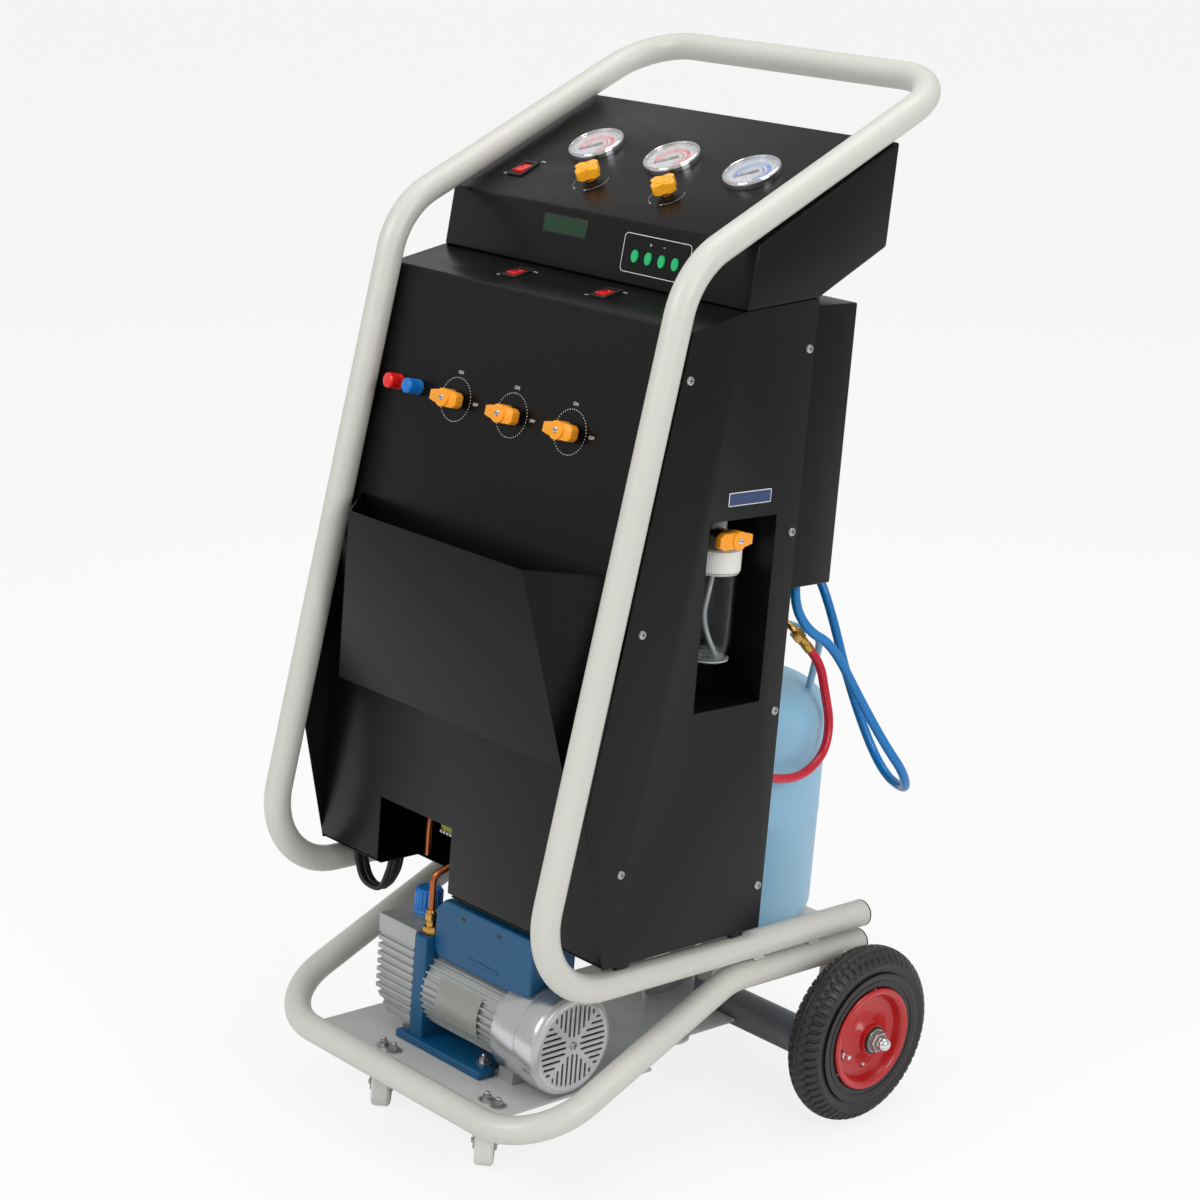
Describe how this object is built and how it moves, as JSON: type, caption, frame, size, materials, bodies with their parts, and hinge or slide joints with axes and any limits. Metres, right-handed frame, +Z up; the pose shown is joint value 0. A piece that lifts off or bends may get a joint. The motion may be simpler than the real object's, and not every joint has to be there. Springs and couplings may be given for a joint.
{
  "type": "air conditioning recharge station",
  "caption": "Wheeled air conditioning recharge station with gauge console, panel valves, vacuum pump, oil bottles, hoses and refrigerant tank on a tubular cart",
  "frame": {"origin": "on the floor at the middle of the footprint, taken without the hoses and the cord hank", "axes": "+X to the right of a user who faces the back of the machine from the front, +Y from the console side to the wheel and tank side, +Z up; the cart leans back by 6 degrees as it stands on its casters"},
  "size_m": [0.6874, 0.6776, 1.2164],
  "materials": {
    "frame_paint": "smooth satin powder coat",
    "black_plastic": "plain even finish",
    "zinc_steel": "plain even finish",
    "tyre_rubber": "matt moulded rubber",
    "red_rim": "plain even finish",
    "white_nylon": "plain even finish",
    "black_sheet": "smooth satin powder coat",
    "chrome_bezel": "plain even finish",
    "gauge_glass": "plain even finish",
    "orange_plastic": "plain even finish",
    "brass_fitting": "plain even finish",
    "port_cap_plastic": "plain even finish",
    "red_plastic": "plain even finish",
    "green_key": "plain even finish",
    "clear_bottle": "plain even finish",
    "white_plastic": "plain even finish",
    "pump_blue": "plain even finish",
    "cast_aluminium": "plain even finish",
    "blue_plastic": "plain even finish",
    "compressor_black": "plain even finish",
    "tank_blue": "plain even finish",
    "hose_blue": "plain even finish",
    "hose_red": "plain even finish",
    "black_rubber": "plain even finish"
  },
  "bodies": {
    "cart": {"axle_carrier": "frame_paint", "axle_hardware": "zinc_steel", "base_plate": "frame_paint", "blue_hose": "hose_blue", "compressor": "compressor_black", "console_box": "black_sheet", "document_pocket": "black_sheet", "frame_plugs": "black_plastic", "front_panel": "black_sheet", "gauge_cases": "chrome_bezel", "gauge_glasses": "gauge_glass", "lower_frame": "frame_paint", "oil_bottle": "clear_bottle", "oil_bottle_cap": "white_plastic", "panel_valves": "brass_fitting", "port_caps": "port_cap_plastic", "power_cord_hank": "black_rubber", "pump_base": "pump_blue", "pump_cowl": "cast_aluminium", "pump_filler_cap": "blue_plastic", "pump_fitting": "brass_fitting", "pump_motor": "cast_aluminium", "pump_oil_case": "cast_aluminium", "pump_top": "pump_blue", "rear_box": "black_sheet", "rear_panel": "black_sheet", "red_hose": "hose_red", "side_panel_left": "black_sheet", "side_panel_right": "black_sheet", "switch_bezels": "black_plastic", "tank": "tank_blue", "tank_stand": "frame_paint", "tank_valve": "brass_fitting", "upper_frame": "frame_paint", "waste_oil_bottle": "clear_bottle"},
    "right_wheel": {"tyre_right": "tyre_rubber", "rim_right": "red_rim"},
    "left_wheel": {"tyre_left": "tyre_rubber", "rim_left": "red_rim"},
    "right_caster": {"caster_fork_right": "zinc_steel"},
    "left_caster": {"caster_fork_left": "zinc_steel"},
    "right_caster_wheel": {"caster_wheel_right": "white_nylon"},
    "left_caster_wheel": {"caster_wheel_left": "white_nylon"},
    "needle_left_body": {"needle_left": "black_plastic"},
    "needle_middle_body": {"needle_middle": "black_plastic"},
    "needle_right_body": {"needle_right": "black_plastic"},
    "console_knob_left_body": {"console_knob_left": "orange_plastic"},
    "console_knob_right_body": {"console_knob_right": "orange_plastic"},
    "valve_handle_left_body": {"valve_handle_left": "orange_plastic"},
    "valve_handle_middle_body": {"valve_handle_middle": "orange_plastic"},
    "valve_handle_right_body": {"valve_handle_right": "orange_plastic"},
    "niche_valve_handle_body": {"niche_valve_handle": "orange_plastic"},
    "rocker_console_body": {"rocker_console": "red_plastic"},
    "rocker_shelf_left_body": {"rocker_shelf_left": "red_plastic"},
    "rocker_shelf_right_body": {"rocker_shelf_right": "red_plastic"},
    "button_first_body": {"button_first": "green_key"},
    "button_second_body": {"button_second": "green_key"},
    "button_third_body": {"button_third": "green_key"},
    "button_fourth_body": {"button_fourth": "green_key"},
    "pump_fan_body": {"pump_fan": "black_plastic"}
  },
  "joints": [
    {"name": "right_wheel_turn", "type": "hinge", "parent": "cart", "child": "right_wheel", "pos_m": [0.294, 0.14145, 0.1075], "axis": [1, 0, 0], "continuous": true},
    {"name": "left_wheel_turn", "type": "hinge", "parent": "cart", "child": "left_wheel", "pos_m": [-0.294, 0.14145, 0.1075], "axis": [1, 0, 0], "continuous": true},
    {"name": "right_caster_swivel", "type": "hinge", "parent": "cart", "child": "right_caster", "pos_m": [0.095, -0.26117, 0.10356], "axis": [0, 0.1045, 0.9945], "continuous": true},
    {"name": "right_caster_wheel_turn", "type": "hinge", "parent": "right_caster", "child": "right_caster_wheel", "pos_m": [0.08369, -0.25768, 0.02855], "axis": [0.7071, 0.7032, -0.0739], "continuous": true},
    {"name": "left_caster_swivel", "type": "hinge", "parent": "cart", "child": "left_caster", "pos_m": [-0.095, -0.26117, 0.10356], "axis": [0, 0.1045, 0.9945], "continuous": true},
    {"name": "left_caster_wheel_turn", "type": "hinge", "parent": "left_caster", "child": "left_caster_wheel", "pos_m": [-0.10631, -0.25768, 0.02855], "axis": [0.7071, 0.7032, -0.0739], "continuous": true},
    {"name": "needle_left_turn", "type": "hinge", "parent": "cart", "child": "needle_left_body", "pos_m": [-0.1265, 0.11027, 1.10785], "axis": [0, 0.3653, -0.9309], "range_deg": [0, 270]},
    {"name": "needle_middle_turn", "type": "hinge", "parent": "cart", "child": "needle_middle_body", "pos_m": [0, 0.11027, 1.10785], "axis": [0, 0.3653, -0.9309], "range_deg": [0, 270]},
    {"name": "needle_right_turn", "type": "hinge", "parent": "cart", "child": "needle_right_body", "pos_m": [0.1265, 0.11027, 1.10785], "axis": [0, 0.3653, -0.9309], "range_deg": [0, 270]},
    {"name": "console_knob_left_turn", "type": "hinge", "parent": "cart", "child": "console_knob_left_body", "pos_m": [-0.0705, 0.04946, 1.08076], "axis": [0, 0.3653, -0.9309], "range_deg": [0, 330]},
    {"name": "console_knob_right_turn", "type": "hinge", "parent": "cart", "child": "console_knob_right_body", "pos_m": [0.054, 0.04946, 1.08076], "axis": [0, 0.3653, -0.9309], "range_deg": [0, 330]},
    {"name": "valve_handle_left_turn", "type": "hinge", "parent": "cart", "child": "valve_handle_left_body", "pos_m": [-0.092, -0.138, 0.8532], "axis": [0, -0.9572, 0.2895], "range_deg": [0, 90]},
    {"name": "valve_handle_middle_turn", "type": "hinge", "parent": "cart", "child": "valve_handle_middle_body", "pos_m": [0.004, -0.138, 0.8532], "axis": [0, -0.9572, 0.2895], "range_deg": [0, 90]},
    {"name": "valve_handle_right_turn", "type": "hinge", "parent": "cart", "child": "valve_handle_right_body", "pos_m": [0.1, -0.138, 0.8532], "axis": [0, -0.9572, 0.2895], "range_deg": [0, 90]},
    {"name": "niche_valve_turn", "type": "hinge", "parent": "cart", "child": "niche_valve_handle_body", "pos_m": [0.208, -0.02481, 0.74035], "axis": [1, 0, 0], "range_deg": [0, 90]},
    {"name": "rocker_console_tip", "type": "hinge", "parent": "cart", "child": "rocker_console_body", "pos_m": [-0.186, 0.04853, 1.0804], "axis": [1, 0, 0], "range_deg": [0, 24]},
    {"name": "rocker_shelf_left_tip", "type": "hinge", "parent": "cart", "child": "rocker_shelf_left_body", "pos_m": [-0.08, -0.05426, 0.98795], "axis": [1, 0, 0], "range_deg": [0, 24]},
    {"name": "rocker_shelf_right_tip", "type": "hinge", "parent": "cart", "child": "rocker_shelf_right_body", "pos_m": [0.0675, -0.05426, 0.98795], "axis": [1, 0, 0], "range_deg": [0, 24]},
    {"name": "button_first_press", "type": "slide", "parent": "cart", "child": "button_first_body", "axis": [0, 0.9722, -0.234], "range_m": [0, 0.0012], "stiffness_N_per_m": 800},
    {"name": "button_second_press", "type": "slide", "parent": "cart", "child": "button_second_body", "axis": [0, 0.9722, -0.234], "range_m": [0, 0.0012], "stiffness_N_per_m": 800},
    {"name": "button_third_press", "type": "slide", "parent": "cart", "child": "button_third_body", "axis": [0, 0.9722, -0.234], "range_m": [0, 0.0012], "stiffness_N_per_m": 800},
    {"name": "button_fourth_press", "type": "slide", "parent": "cart", "child": "button_fourth_body", "axis": [0, 0.9722, -0.234], "range_m": [0, 0.0012], "stiffness_N_per_m": 800},
    {"name": "pump_fan_turn", "type": "hinge", "parent": "cart", "child": "pump_fan_body", "pos_m": [0, -0.20423, 0.16696], "axis": [1, 0, 0], "continuous": true}
  ]
}
